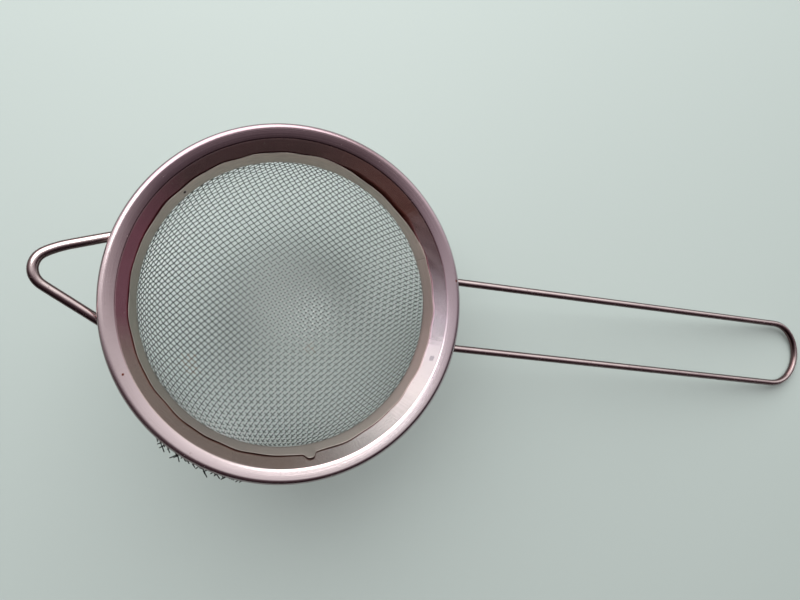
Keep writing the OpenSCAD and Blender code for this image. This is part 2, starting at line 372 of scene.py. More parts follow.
def turnShare(recipe):
    # Share of a turn round the bowl's axis, 0 to 1, from the handle's side
    place = recipe.add("ShaderNodeVectorMath", {"operation": "SUBTRACT"}, {
        0: recipe.place(), 1: tuple(rimCentre)})
    level = recipe.add("ShaderNodeMapping", {}, {"Vector": place, "Rotation": (0, -tilt, 0)})
    parts = recipe.add("ShaderNodeSeparateXYZ", {}, {0: level})
    y = Signal(recipe, parts.socket.node.outputs[1])
    return recipe.math("FRACT", recipe.math("ARCTAN2", y, parts) / (2 * math.pi) + 1.0)


def rimSteel():
    # Tints run round the funnel and the brim by the share of a turn, as painted reflections; the funnel's
    # palest part is made matt as a painted highlight
    r = newMaterial("polishedRimSteel")
    uv = r.place("UV")
    lines = r.noise(r.stretch(uv, (0.012, 6.0, 1)), 1.0, 3, 0.6)       # turned lines round the ring
    streaks = r.noise(r.stretch(uv, (1.6, 0.05, 1)), 1.0, 2, 0.5)      # faint streaks across it
    cloud = r.noise(r.place(), 60, 3, 0.55)
    dust = r.noise(r.place(), 1500, 2, 0.7)
    turn = turnShare(r) + (cloud - 0.5) * 0.05 + (streaks - 0.5) * 0.02
    # Painted reflections: the funnel's and the brim's tint ramps
    funnel = r.add("ShaderNodeValToRGB", {"stops": steel["funnel"]}, {0: turn})
    inner = 1 - r.mark("reach").between(*steel["funnelEdge"])
    brim = r.add("ShaderNodeValToRGB", {"stops": steel["brim"]}, {0: turn})
    colour = r.blend(inner, brim, funnel)
    # Painted highlight: the funnel's palest part turns matt so that it shows brighter
    late = turn.between(0.84, 0.92) * (1 - turn.between(0.972, 0.985) * 0.6)
    highlightMatt = (late + (1 - turn.between(0.0, 0.07)) * 0.4) * inner * steel["highlightMatt"]
    # Painted shade on the bead's outer face, lighter on the far side
    shaded = r.mark("reach").between(*steel["outerEdge"]) * (1 - ringSense(r, 90).between(0.6, 0.9) * 0.6)
    colour = r.blend(shaded * 0.9, colour, steel["outerEdgeShade"])
    grime = r.noise(r.place(), 900, 2, 0.6).between(0.66, 0.78) * steel["specks"]
    colour = r.blend(grime, colour, steel["speckTint"])
    colour = r.blend(dust.between(0.66, 0.76) * inner * 0.35, colour, steel["dustTint"])
    colour = r.blend(spot(r, *steel["blotch"]) * 0.6, colour, steel["blotchTint"])
    rust = spot(r, *steel["rust"][0]) + spot(r, *steel["rust"][1])
    colour = r.blend(rust, colour, steel["rustTint"])
    rough = steel["roughness"] + (lines - 0.5) * 0.12 + (cloud - 0.5) * 0.12 + grime * 0.2
    height = lines * (steel["turnedLines"] * (1 - inner) + 0.12) + streaks * 0.1
    bump = r.add("ShaderNodeBump", {}, {"Strength": 0.35, "Distance": 0.0001, "Height": height})
    return r.finish(Base_Color=colour, Metallic=1 - highlightMatt, Roughness=rough, Normal=bump)


def bandSteel():
    # Matt grey-green steel, browner towards the handle, with painted light on the far side and painted shade
    # on the near side, and a pale cut edge that is partly a painted highlight
    r = newMaterial("matteBandSteel")
    uv = r.place("UV")
    cloud = r.noise(r.place(), 120, 3, 0.6)
    grain = r.noise(r.stretch(uv, (0.3, 5.0, 1)), 1.0, 3, 0.6)
    right = ringSense(r, -20)
    tint = (right + (cloud - 0.5) * 0.3).between(0.45, 0.9)
    colour = r.blend(tint, (0.38, 0.36, 0.31), (0.37, 0.28, 0.26))
    # Painted light on the far side and painted shade on the near side
    colour = r.blend(ringSense(r, 95).between(0.45, 0.95), colour, (0.78, 0.68, 0.60))
    colour = r.blend(ringSense(r, -90).between(0.6, 0.95), colour, (0.24, 0.21, 0.19))
    colour = r.blend((grain.between(0.35, 0.75)) * 0.35, colour, (0.26, 0.25, 0.22))
    raw = r.mark("edge")
    # The cut edge is partly real raw steel and partly a painted highlight: pale, brightest where it faces
    # the handle, and made matt so it shows bright
    cut = r.blend(ringSense(r, 3).between(0.85, 0.97), (0.44, 0.38, 0.35), (0.97, 0.90, 0.88))
    colour = r.blend(raw, colour, cut)
    fleck = spot(r, *band["fleck"])
    colour = r.blend(fleck, colour, (0.02, 0.01, 0.01))
    rough = 0.46 + (cloud - 0.5) * 0.15
    bump = r.add("ShaderNodeBump", {}, {"Strength": 0.4, "Distance": 0.00008, "Height": grain})
    return r.finish(Base_Color=colour, Metallic=0.75 - raw * 0.7, Roughness=rough, Normal=bump)


def clothSteel(name, sunny, shady, dipped):
    # Painted shade where a wire dips under its neighbour; the tops carry a painted reflection that runs from
    # shady at the far left to sunny
    r = newMaterial(name)
    cloud = r.noise(r.place(), 90, 3, 0.6)
    fine = r.noise(r.place(), 2500, 2, 0.6)
    # Painted reflection: the tops are dark at the far left and pale towards the near right
    near = (ringSense(r, -50) + (cloud - 0.5) * 0.2).between(0.25, 0.85)
    colour = r.blend(near, shady, sunny)
    # Painted light: paler round the bowl's lowest part, to make up for the shadow it stands in
    foot = seat(np.array(weave["foot"], float))
    away = r.add("ShaderNodeVectorMath", {"operation": "DISTANCE"}, {0: r.place(), 1: tuple(foot)}, "Value")
    pale = 1 - (away * 1000 + (cloud - 0.5) * 6).between(*weave["footFade"])
    colour = r.blend(pale * 0.8, colour, weave["footLight"])
    # Painted shade: dark where the wire dips under its neighbour
    dip = (r.mark("lift") + (fine - 0.5) * 0.5).between(-0.3, 0.5)
    colour = r.blend(dip, dipped, colour)
    tea = spot(r, *weave["tea"][0]) + spot(r, *weave["tea"][1])
    colour = r.blend(tea * fine.between(0.35, 0.6) * 0.8, colour, (0.24, 0.11, 0.04))
    rough = 0.26 + fine * 0.2
    bump = r.add("ShaderNodeBump", {}, {"Strength": 0.3, "Distance": 0.00002, "Height": fine})
    return r.finish(Base_Color=colour, Metallic=1 - pale * dip * 0.7, Roughness=rough, Normal=bump)


def wireSteel():
    # Drawn steel, pale on top and dark at the sides, which is painted shade that narrows the highlight (the
    # mark side is 0 on top and 1 at the sides)
    r = newMaterial("drawnWireSteel")
    along, roundIt = r.mark("along"), r.mark("round")
    vector = r.add("ShaderNodeCombineXYZ", {}, {0: along * 0.05, 1: roundIt * 3.0, 2: 0.0})
    drawn = r.noise(vector, 1.0, 3, 0.6)                                # lines along the wire
    cloud = r.noise(r.place(), 150, 3, 0.6)
    specks = r.noise(r.place(), 1400, 2, 0.6).between(0.64, 0.74)
    colour = r.blend(cloud.between(0.3, 0.75), (0.92, 0.80, 0.78), (0.74, 0.62, 0.62))
    # Painted shade at the sides of the wire
    side = r.mark("side").between(0.25, 0.78)
    colour = r.blend(side * 0.95, colour, (0.09, 0.045, 0.047))
    colour = r.blend(specks * 0.7, colour, (0.16, 0.10, 0.09))
    rough = 0.17 + (drawn - 0.5) * 0.15 + specks * 0.3
    bump = r.add("ShaderNodeBump", {}, {"Strength": 0.3, "Distance": 0.00005,
                                        "Height": drawn + specks * 0.5})
    return r.finish(Base_Color=colour, Metallic=1.0, Roughness=rough, Normal=bump)


def plainSteel(name, pale, dark, roughness, scale):
    # Two tints mixed by a cloud of noise of this scale
    r = newMaterial(name)
    cloud = r.noise(r.place(), scale, 4, 0.6)
    fine = r.noise(r.place(), scale * 12, 2, 0.6)
    colour = r.blend(cloud.between(0.3, 0.7), pale, dark)
    rough = roughness + (cloud - 0.5) * 0.2
    bump = r.add("ShaderNodeBump", {}, {"Strength": 0.4, "Distance": 0.00005,
                                        "Height": fine + cloud})
    return r.finish(Base_Color=colour, Metallic=1.0, Roughness=rough, Normal=bump)


rim = {
    "brimWidth": 2.0, "brimFall": 0.5, "cornerRadius": 0.35,
    "brimLead": 10.5,           # the brim's slope where it leaves the bead, degrees
    "throatRadius": 33.4, "throatDepth": 5.8,
    "curlStart": -170,          # the curl's cut edge
    "steps": 540,
    "unevenness": 0.035,        # height of the low dents of the pressed funnel
    # The dents' waves: how many a turn, share of the height, start, and twist for each millimetre up
    "dents": [(3, 1.0, 0.7, 0.0), (7, 0.8, 2.1, 0.0), (13, 0.55, 4.0, 0.0), (23, 0.35, 0.0, 0.9),
              (41, 0.25, 0.0, 1.3)],
    "dentsEnd": 1.6, "dentsFade": 2.0,      # how far inside the bead they stop, and over what width
}

sheet, cloth, clear = strainer["sheet"], strainer["cloth"], strainer["clear"]
curlRadius = strainer["beadRadius"] - sheet / 2
brimSlope = math.atan2(rim["brimFall"], rim["brimWidth"])
beadTop = bent((beadX, 0), curlRadius, 90 + math.degrees(brimSlope), 90, 1)[0]
brimCorner = beadTop + (-rim["brimWidth"], -rim["brimFall"])
coneFoot = np.array([rim["throatRadius"], -rim["throatDepth"]])
coneAngle = math.atan2(brimCorner[1] - coneFoot[1], brimCorner[0] - coneFoot[0])
funnelFoot = coneFoot + (sheet / 2 * math.sin(coneAngle), 0)


def uneven(angle, r, z):
    # Dents: the sum of a few sine waves round the ring, full on the funnel and none on the bead
    weight = np.clip((beadX - rim["dentsEnd"] - r) / rim["dentsFade"], 0, 1)
    wave = sum(share * np.sin(count * angle + start + twist * z)
               for count, share, start, twist in rim["dents"])
    return r + rim["unevenness"] * weight * wave, z


def makeRimRing():
    # The rolled bead, then the brim, which leaves it on a gentle slope and steepens a little to the
    # funnel's corner (first times share + (fall - first) times share squared), then the straight funnel
    lead = math.radians(rim["brimLead"])
    crest = np.array([beadX - curlRadius * math.sin(lead), curlRadius * math.cos(lead)])
    wide, fall = crest - brimCorner
    first = wide * math.tan(lead)
    share = np.linspace(0, 1, 12)[1:-1, None]
    brim = crest - np.hstack([wide * share, first * share + (fall - first) * share ** 2])
    corner = rounded(brim[-1], brimCorner, funnelFoot, rim["cornerRadius"], 8)
    middle = np.concatenate([
        bent((beadX, 0), curlRadius, rim["curlStart"], 90 + rim["brimLead"], 52), brim[:-1], corner,
        resampled(np.array([corner[-1], funnelFoot]), 0.35)[1:]])
    return turnedPiece("rimRing", outline(middle, sheet), rim["steps"], uneven)


finishPiece(makeRimRing(), rimSteel(), "rim_ring")
print("rim ring made")


band = {
    "thickness": 0.28, "radius": 33.0,      # inside of the upright lip
    "rise": 2.4, "fall": 0.7,               # above and below the throat
    "waves": 27, "waveHeight": 0.17, "ripple": 0.012,
    "gapFrom": 32, "gapTo": 80, "gap": 0.75,     # where the upper edge stands off the funnel, degrees
    "gapOpens": 12, "gapCloses": 14,        # over how many degrees
    "burrAt": 282.4, "burrWidth": 2.0, "burrReach": 1.7, "burrLift": 0.22,   # a torn tongue of the edge
    "lapAt": 25.3, "lap": 7.0,              # angle of the lapped ends and how far they lap, degrees
    "lapRise": 0.25, "lapSink": 0.1,        # of half the thickness: the end on top up, the one below down
    "bendAt": 0.72, "bendWidth": 0.35,      # share of the rows above the corner, and the corner's width
    "pressed": 0.07,                        # how far the edge lies closer to the funnel than the rest
    "fleck": ((-25.9, 21.3, -4.6), 0.35, 0.6),
    "steps": 720, "rows": 22,
}


def makeThroatBand():
    # One strip, wrapped once and a little more: its inner end lies on its outer end
    side = unit(funnelFoot - brimCorner)
    inward = np.array([side[1], -side[0]])
    lapStart = math.radians(band["lapAt"])
    lap = math.radians(band["lap"])
    angle = np.linspace(lapStart, lapStart + 2 * math.pi + lap, band["steps"])
    turn = np.degrees(angle) % 360
    wave = (0.6 * np.sin(band["waves"] * angle + 0.9 * np.sin(3 * angle))
            + 0.5 * np.sin(0.62 * band["waves"] * angle + 2.0))
    away = (np.clip((turn - band["gapFrom"]) / band["gapOpens"], 0, 1)
            * np.clip((band["gapTo"] - turn) / band["gapCloses"], 0, 1))
    away = away * away * (3 - 2 * away)
    ripple = band["ripple"] * (1 + np.sin(band["waves"] * angle + 1.2)) * (1 - away)
    onTop = (angle > angle[-1] - lap)[:, None, None] * 1.0                # the skived end that lies on top
    below = (angle < angle[0] + lap)[:, None, None] * 1.0                 # and the one under it
    half = (band["thickness"] + sheet) / 2 + clear
    cone = np.array([brimCorner + inward * half, funnelFoot + inward * half])
    radius = band["radius"] + band["thickness"] / 2
    corner = cone[0] + (cone[1] - cone[0]) * (radius - cone[0][0]) / (cone[1][0] - cone[0][0])
    burr = np.exp(-((turn - band["burrAt"]) / band["burrWidth"]) ** 4)
    top = band["rise"] - rim["throatDepth"] + band["waveHeight"] * wave + band["burrReach"] * burr
    foot = -rim["throatDepth"] - band["fall"] + 0.04 * np.sin(11 * angle)
    # Middle line for each angle: from the wavy top edge down the funnel, round the corner, to the foot
    t = np.linspace(0, 1, band["rows"])[:, None]
    cut = band["bendAt"]
    zCone = corner[1] + (top - corner[1]) * (1 - np.clip(t / cut, 0, 1))
    zLip = corner[1] + (foot - corner[1]) * np.clip((t - cut) / (1 - cut), 0, 1)
    z = np.where(t < cut, zCone, zLip)
    slope = (cone[0][0] - corner[0]) / (cone[0][1] - corner[1])
    bend = band["bendWidth"]
    above = z - corner[1]
    # Half of above plus the root of above squared and bend squared: flat below the corner, sloped above
    r = radius + slope * 0.5 * (above + np.sqrt(above ** 2 + bend ** 2) - bend * 0.5)
    height = np.clip(above / 2.5, 0, 1) ** 1.6
    r = r - height * (band["gap"] * away + ripple + band["burrLift"] * burr - band["pressed"])
    middle = np.stack([r, z], -1).transpose(1, 0, 2)                       # angle, row, (r, z)
    t2 = unit(np.gradient(middle, axis=1))
    left = np.stack([-t2[..., 1], t2[..., 0]], -1)
    thin = band["thickness"] / 2
    # The face thins towards the cut top edge, and each lapped end keeps about half of the thickness
    taper = (0.4 + 0.6 * np.clip(t[None] / 0.12, 0, 1)) * 2 - 1
    front = middle + thin * left * (taper * (1 - below) + band["lapRise"] * onTop - band["lapSink"] * below)
    back = middle - thin * left * (1 - onTop)
    cutEdge = (front[:, :1] + back[:, :1]) / 2 - thin * t2[:, :1] * 0.4
    loop = np.concatenate([front, back[:, ::-1], cutEdge], 1)
    x = loop[..., 0] * np.cos(angle)[:, None]
    y = loop[..., 0] * np.sin(angle)[:, None]
    points = np.stack([x, y, loop[..., 1]], -1)
    rows, columns = points.shape[:2]
    faces = gridFaces(rows, columns, False, True)
    ends = [np.arange(columns)[None, ::-1], (rows - 1) * columns + np.arange(columns)[None, :]]
    u = np.broadcast_to(angle[:, None] * radius, (rows, columns))
    v = np.broadcast_to(np.linspace(0, 8, columns)[None, :], (rows, columns))
    uvPoints = np.stack([u, v], -1).reshape(-1, 2)
    allFaces = [faces] + ends
    # The raw edge, which takes the pale cut colour and its painted highlight: 1 along the top of the face, a
    # half on the row below it and on the cut
    edgeMark = np.zeros(columns)
    edgeMark[[0, 1, -1]] = 1.0, 0.5, 0.5
    marks = {"edge": np.broadcast_to(edgeMark, (rows, columns))}
    return buildMesh("throatBand", seat(points).reshape(-1, 3), allFaces, marks,
                     {"points": uvPoints, "faces": allFaces})


finishPiece(makeThroatBand(), bandSteel(), "throat_band")
print("throat band made")


weave = {
    "pitch": 1.34, "wire": 0.195,
    "warpAngle": 42.1, "weftAngle": 142.2,      # degrees from the handle, at the bowl's bottom
    "bowlRadius": 33.75, "bottomRadius": 56.75, "knuckleRadius": 26.75, "depth": 35.15,
    "blank": 57.0,                              # radius of the flat round of cloth
    "edge": 52.6,                               # length from the bottom at which the shown wires end
    "warpCurve": -2.7, "weftCurve": 1.2,         # degrees each of those two wires turns in one bowl radius
    "newton": 7,
    "foot": (4.0, 2.5, -34.5), "footFade": (2.0, 20.0),      # centre and reach of the painted light on the wires
    "footLight": (0.92, 0.94, 0.93),
    "tea": [((-20.5, -17.5, -26), 3.0, 0.8), ((11.0, -10.5, -33), 1.6, 0.8)],     # stains
    "sides": 6, "samples": 6,
}

bottomCentreZ = weave["bottomRadius"] - weave["depth"]
knuckleX = weave["bowlRadius"] - weave["knuckleRadius"]
knuckleZ = bottomCentreZ - math.sqrt((weave["bottomRadius"] - weave["knuckleRadius"]) ** 2 - knuckleX ** 2)
knuckleAngle = math.degrees(math.asin(knuckleX / (weave["bottomRadius"] - weave["knuckleRadius"])))


def clothProfile():
    # The bowl's middle surface as radius and height at even steps of length from the bottom:
    # shallow bottom arc, knuckle arc, upright wall, then the flange under the funnel and the brim
    out = np.array([math.sin(coneAngle), -math.cos(coneAngle)]) * (sheet + cloth) / 2
    lowCone, highCone = funnelFoot + out, brimCorner + out
    turn = highCone + (lowCone - highCone) * (weave["bowlRadius"] - highCone[0]) / (lowCone[0] - highCone[0])
    wallTop = np.array([weave["bowlRadius"], knuckleZ])
    line = np.concatenate([
        bent((0, bottomCentreZ), weave["bottomRadius"], -90, -90 + knuckleAngle, 60),
        bent((knuckleX, knuckleZ), weave["knuckleRadius"], -90 + knuckleAngle, 0, 160)[1:],
        rounded(wallTop, turn, highCone, 0.85, 12),
        rounded(turn, highCone, highCone + (3, 0.75), 0.8, 8),
        [highCone + (30, 7.5)]])
    return resampled(line, 0.02)


profile = clothProfile()
profileStep = np.linalg.norm(profile[1] - profile[0])
profileSlope = unit(np.gradient(profile, axis=0))


def onCloth(q):
    # q holds flat places: its length is the length from the bottom, its direction the way round.
    # Gives the point of the bowl's surface and the surface's normal, which faces into the bowl.
    s = np.linalg.norm(q, axis=-1)
    way = q / np.maximum(s, 1e-9)[..., None]
    at = np.clip(s / profileStep, 0, len(profile) - 1)
    index = np.arange(len(profile))
    r, z = (np.interp(at, index, profile[:, k]) for k in (0, 1))
    dr, dz = (np.interp(at, index, profileSlope[:, k]) for k in (0, 1))
    point = np.concatenate([way * r[..., None], z[..., None]], -1)
    normal = np.concatenate([-way * dz[..., None], dr[..., None]], -1)
    return point, normal, s, way, r, dr, dz


def thirdCorner(first, second, guess):
    # The place on the bowl one pitch from two crossings: Newton steps on the two distances
    ends = onCloth(first)[0], onCloth(second)[0]
    gap = lambda q: np.stack([np.linalg.norm(onCloth(q)[0] - e, axis=-1) - weave["pitch"] for e in ends], -1)
    q, tiny = guess, 1e-4
    for _ in range(weave["newton"]):
        miss = gap(q)
        du = (gap(q + (tiny, 0)) - miss) / tiny
        dv = (gap(q + (0, tiny)) - miss) / tiny
        det = du[:, 0] * dv[:, 1] - du[:, 1] * dv[:, 0]
        det = np.where(np.abs(det) < 0.05, np.where(det < 0, -0.05, 0.05), det)
        step = np.stack([miss[:, 0] * dv[:, 1] - miss[:, 1] * dv[:, 0],
                         miss[:, 1] * du[:, 0] - miss[:, 0] * du[:, 1]], -1) / det[:, None]
        q = q - np.clip(step, -0.4 * weave["pitch"], 0.4 * weave["pitch"])
    return q


def cubicAlong(q, factor, axis):
    # Catmull-Rom: four neighbours weighted by cubics of the fraction, factor samples to each step
    q = np.moveaxis(q, axis, 0)
    count = (len(q) - 1) * factor + 1
    at = np.arange(count) / factor
    base = np.minimum(at.astype(int), len(q) - 2)
    t = (at - base).reshape(-1, *[1] * (q.ndim - 1))
    pad = np.concatenate([2 * q[:1] - q[1:2], q, 2 * q[-1:] - q[-2:-1]])
    p0, p1, p2, p3 = (pad[base + k] for k in range(4))
    made = 0.5 * (2 * p1 + (p2 - p0) * t + (2 * p0 - 5 * p1 + 4 * p2 - p3) * t ** 2
                  + (3 * p1 - p0 - 3 * p2 + p3) * t ** 3)
    return np.moveaxis(made, 0, axis)


def weaveNet():
    # Woven cloth shears but hardly stretches: each mesh keeps four sides of one pitch. Two wires
    # through the bottom are given, and every next crossing lies one pitch from its two neighbours.
    half = int(math.ceil(weave["blank"] / weave["pitch"]))
    q = np.full((2 * half + 1, 2 * half + 1, 2), np.nan)
    count = np.arange(-half, half + 1)
    for row, angle, curve in ((0, "warpAngle", "warpCurve"), (1, "weftAngle", "weftCurve")):
        # A wire through the bottom that turns by curve degrees at one bowl radius
        run = count * weave["pitch"]
        way = np.radians(weave[angle] + weave[curve] * (run / weave["bowlRadius"]))
        line = run[:, None] * np.stack([np.cos(way), np.sin(way)], -1)
        if row == 0:
            q[:, half] = line
        else:
            q[half] = line
    for si, sj in ((1, 1), (1, -1), (-1, 1), (-1, -1)):
        for total in range(2, 2 * half + 1):
            i = np.arange(max(1, total - half), min(total, half + 1))
            j = total - i
            at = half + si * i, half + sj * j
            besideI, besideJ = q[at[0] - si, at[1]], q[at[0], at[1] - sj]
            guess = besideI + besideJ - q[at[0] - si, at[1] - sj]
            live = np.linalg.norm(guess, axis=-1) < weave["blank"]
            if live.any():
                made = thirdCorner(besideI[live], besideJ[live], guess[live])
                q[at[0][live], at[1][live]] = made
    known = np.isfinite(q[..., 0])
    return np.where(known[..., None], q, 0), known


def wireFamily(name, q, inside, sign, part, parts, material):
    # Every wire of one family as a tube: the line of crossings, lifted and dipped by the crimp,
    # which is a cosine that passes over one crossing wire and under the next
    n, sides = weave["samples"], weave["sides"]
    lines = cubicAlong(q, n, 0)
    point, normal, s, *_ = onCloth(lines)
    t = np.arange(len(lines))[:, None] / n
    which = np.arange(lines.shape[1])[None, :]
    swing = np.cos(math.pi * t) * np.where(which % 2, -1, 1) * sign
    crimp = swing * (1 + 0.12 * (1 - swing ** 2)) * weave["wire"] * 0.51
    path = point + normal * crimp[..., None]
    seen = (s <= weave["edge"]) & (cubicAlong(inside.astype(float)[..., None], n, 0)[..., 0] > 0.99)
    seen &= (which * parts // lines.shape[1]) == part
    points, faces, marks = tubes(path, normal, weave["wire"] / 2, sides, seen, swing)
    print(name, len(faces[0]) * 2, "triangles")
    return finishPiece(buildMesh(name, points, faces, marks), material, "mesh_bowl")


# Painted reflections on the tops: the warp's stay dark, the weft's turn pale towards the near right
warpMaterial = clothSteel("warpWireSteel", (0.14, 0.14, 0.135), (0.03, 0.03, 0.028), (0.01, 0.01, 0.009))
weftMaterial = clothSteel("weftWireSteel", (0.56, 0.58, 0.56), (0.04, 0.04, 0.038), (0.02, 0.02, 0.018))
net, onBlank = weaveNet()
for part in range(3):
    wireFamily(f"warpWires{part + 1}", net, onBlank, 1, part, 3, warpMaterial)
    wireFamily(f"weftWires{part + 1}", net.transpose(1, 0, 2), onBlank.T, -1, part, 3, weftMaterial)
print("woven bowl made")


fray = {
    "from": -100.5, "to": -129.0, "step": 1.6,     # where they show under the rim, degrees
    "single": -66.4,
    "ways": (-62.0, -147.0),                        # the two families of wire there
    "wire": 0.25, "root": 37.4, "rootHeight": -1.5, "drop": 0.3,
    "shortest": 0.4, "longest": 2.1,                # reach past the rim
    "tufts": [(-123, 1.0), (-110, 0.6)], "tuftWidth": 4,    # where they reach farthest, degrees
    "fan": 8,                                       # spread of their directions, degrees
    "seed": 11,
}


def makeFray():
    # Short wires from the cloth's cut edge to tips just outside the rim, in pairs that cross
    rng = np.random.default_rng(fray["seed"])
    angle = np.arange(fray["from"], fray["to"], -fray["step"])
    angle = np.append(np.repeat(angle, 2) + rng.uniform(-0.6, 0.6, 2 * len(angle)), fray["single"])
    count = len(angle)
    a = np.radians(angle)
    out = np.stack([np.cos(a), np.sin(a)], -1)
    peaks = sum(share * np.exp(-((angle - at) / fray["tuftWidth"]) ** 2) for at, share in fray["tufts"])
    reach = strainer["rimRadius"] + fray["shortest"] + (fray["longest"] - fray["shortest"]) * (
        (0.25 + 0.75 * np.clip(peaks, 0, 1)) * rng.uniform(0.1, 1, count))
    tip = out * reach[:, None]
    spread = np.radians(rng.uniform(-fray["fan"], fray["fan"], count))
    first, second = np.radians(fray["ways"][0]) + spread, np.radians(fray["ways"][1]) + spread
    way = np.where(np.arange(count) % 2, first, second)
    # A wire more than 60 degrees off the outward direction is turned back to 60 degrees
    off = np.clip((way - a + math.pi) % (2 * math.pi) - math.pi, -math.pi / 3, math.pi / 3)
    way = a + off
    ahead = np.stack([np.cos(way), np.sin(way)], -1)
    # Length from the tip back to the root circle: b - sqrt(b squared - (tip squared - root squared))
    b = (tip * ahead).sum(-1)
    length = b - np.sqrt(np.maximum(b ** 2 - (reach ** 2 - fray["root"] ** 2), 0))
    start = tip - ahead * length[:, None]
    t = np.linspace(0, 1, 13)[:, None, None]
    flat = start + ahead * (length[:, None] * t)
    side = np.stack([-np.sin(way), np.cos(way)], -1) * rng.uniform(-0.35, 0.35, (count, 1))
    flat = flat + side * t * (1 - t) * 2
    crimp = 0.06 * np.sin(t[..., 0] * length * math.pi / weave["pitch"] + 3 * way)
    z = fray["rootHeight"] + crimp - fray["drop"] * t[..., 0] ** 2 * rng.uniform(0, 1, count)
    path = np.concatenate([flat, z[..., None]], -1)
    up = np.broadcast_to(np.array([0.0, 0.0, 1.0]), path.shape)
    piece = buildMesh("frayedEnds", *tubes(path, up, fray["wire"] / 2, 6, None, -0.6))
    return finishPiece(piece, warpMaterial, "mesh_bowl")


makeFray()
print("frayed ends made")


backing = {"thickness": 0.5, "top": -0.9, "foot": -6.0, "steps": 360}


def makeBackingRing():
    out = np.array([math.sin(coneAngle), -math.cos(coneAngle)])
    away = sheet / 2 + cloth + backing["thickness"] / 2
    a, b = brimCorner + out * away, funnelFoot + out * away
    at = lambda z: a + (b - a) * (z - a[1]) / (b[1] - a[1])
    middle = resampled(np.array([at(backing["top"]), at(backing["foot"])]), 0.5)
    return turnedPiece("backingRing", outline(middle, backing["thickness"]), backing["steps"])


backingMaterial = plainSteel("satinBackingSteel", (0.62, 0.58, 0.58), (0.50, 0.45, 0.46), 0.32, 70)
finishPiece(makeBackingRing(), backingMaterial, "backing_ring")
print("backing ring made")


handle = {
    "wire": 1.8, "reach": 157.2, "rootGap": 16.4, "endGap": 18.2, "cornerRadius": 9.0,
    "shift": 1.5, "drop": 2.03, "inset": 0.9, "sides": 28,      # inset: into the backing ring
}
rest = {
    "wire": 2.1, "reach": 51.8, "rootY": 9.2, "bowedAngle": 21.5, "straightAngle": 28.5,
    "bow": 14.5, "bowRadius": 15.0, "tipRadius": 3.8, "lift": 15.0, "link": 0.3,
    "inset": 4.4, "sides": 28,
}


def bentWire(start, heading, steps, spacing=0.5):
    # Walks along a flat wire: each step is a straight length, then a bend radius and a left turn
    at, way, line = np.array(start, float), math.radians(heading), [np.array([start], float)]
    for length, radius, turn in steps:
        ahead = np.array([math.cos(way), math.sin(way)])
        line.append(at + ahead * np.linspace(0, length, max(2, int(length / spacing)))[1:, None])
        at = at + ahead * length
        if turn:
            centre = at + radius * np.array([-ahead[1], ahead[0]])
            first = math.degrees(way) - 90
            line.append(bent(centre, radius, first, first + turn, max(6, int(turn / 4)))[1:])
            way += math.radians(turn)
            at = line[-1][-1]
    return np.concatenate(line)


def ringFace(z):
    # Radius of the backing ring's outer face at height z
    out = np.array([math.sin(coneAngle), -math.cos(coneAngle)]) * (sheet / 2 + cloth + backing["thickness"])
    a, b = brimCorner + out, funnelFoot + out
    return a[0] + (b[0] - a[0]) * (z - a[1]) / (b[1] - a[1])


def handlePath():
    splay = math.degrees(math.atan2((handle["endGap"] - handle["rootGap"]) / 2,
                                    handle["reach"] - handle["cornerRadius"] - beadX))
    root = ringFace(-handle["drop"]) - handle["inset"]
    bendX = handle["reach"] - handle["cornerRadius"] * (1 + math.sin(math.radians(splay)))
    arm = (bendX - root) / math.cos(math.radians(splay))
    flat = handle["endGap"] - 2 * handle["cornerRadius"]
    rootY = (flat / 2 + handle["cornerRadius"] * math.cos(math.radians(splay))
             - arm * math.sin(math.radians(splay)))
    line = bentWire((root, handle["shift"] - rootY), -splay, [
        (arm, handle["cornerRadius"], 90 + splay), (flat, handle["cornerRadius"], 90 + splay), (arm, 0, 0)])
    return np.column_stack([line, np.full(len(line), -handle["drop"])])


def restPath():
    lift = math.radians(rest["lift"])
    drop = (strainer["beadRadius"] + rest["wire"] / 2 + clear) / math.cos(lift)
    bowed, straight = math.radians(rest["bowedAngle"]), math.radians(rest["straightAngle"])
    turned = bowed + math.radians(rest["bow"])
    out = rest["reach"] - beadX
    run = (out - rest["bowRadius"] * (math.sin(turned) - math.sin(bowed)) - rest["link"] * math.cos(turned)
           - rest["tipRadius"] * (1 - math.sin(turned))) / math.cos(bowed)
    inset = rest["inset"]
    footRun = (out - rest["tipRadius"] * (1 - math.sin(straight)) + inset) / math.cos(straight)
    tipTurn = 180 - math.degrees(turned) - rest["straightAngle"]
    line = bentWire((inset, rest["rootY"] + inset * math.tan(bowed)), 180 + rest["bowedAngle"], [
        (run + inset / math.cos(bowed), rest["bowRadius"], rest["bow"]),
        (rest["link"], rest["tipRadius"], tipTurn), (footRun, 0, 0)], 0.35)
    # Leaned up about the line below the bead
    x, y = line[:, 0], line[:, 1]
    return np.stack([x * math.cos(lift) - beadX, y, -x * math.sin(lift) - drop], -1)


def smoothed(path, times):
    # Every point moved to the mean of its neighbours and itself, ends held
    for _ in range(times):
        path = np.concatenate([path[:1], (path[:-2] + 2 * path[1:-1] + path[2:]) / 4, path[-1:]])
    return path


def wirePiece(name, path, sizes, node, material):
    # The wire's radius wavers by under one part in a hundred: two sines of the length along it
    path = smoothed(path, 6)
    run = np.concatenate([[0], np.cumsum(np.linalg.norm(np.diff(path, axis=0), axis=1))])
    radius = sizes["wire"] / 2 * (1 + 0.004 * np.sin(run * 0.9) + 0.003 * np.sin(run * 2.3 + 1))
    up = np.cross(path[len(path) // 3] - path[0], path[-1] - path[0])
    piece = sweptPiece(name, path, radius, sizes["sides"], unit(up))
    return finishPiece(piece, material, node)


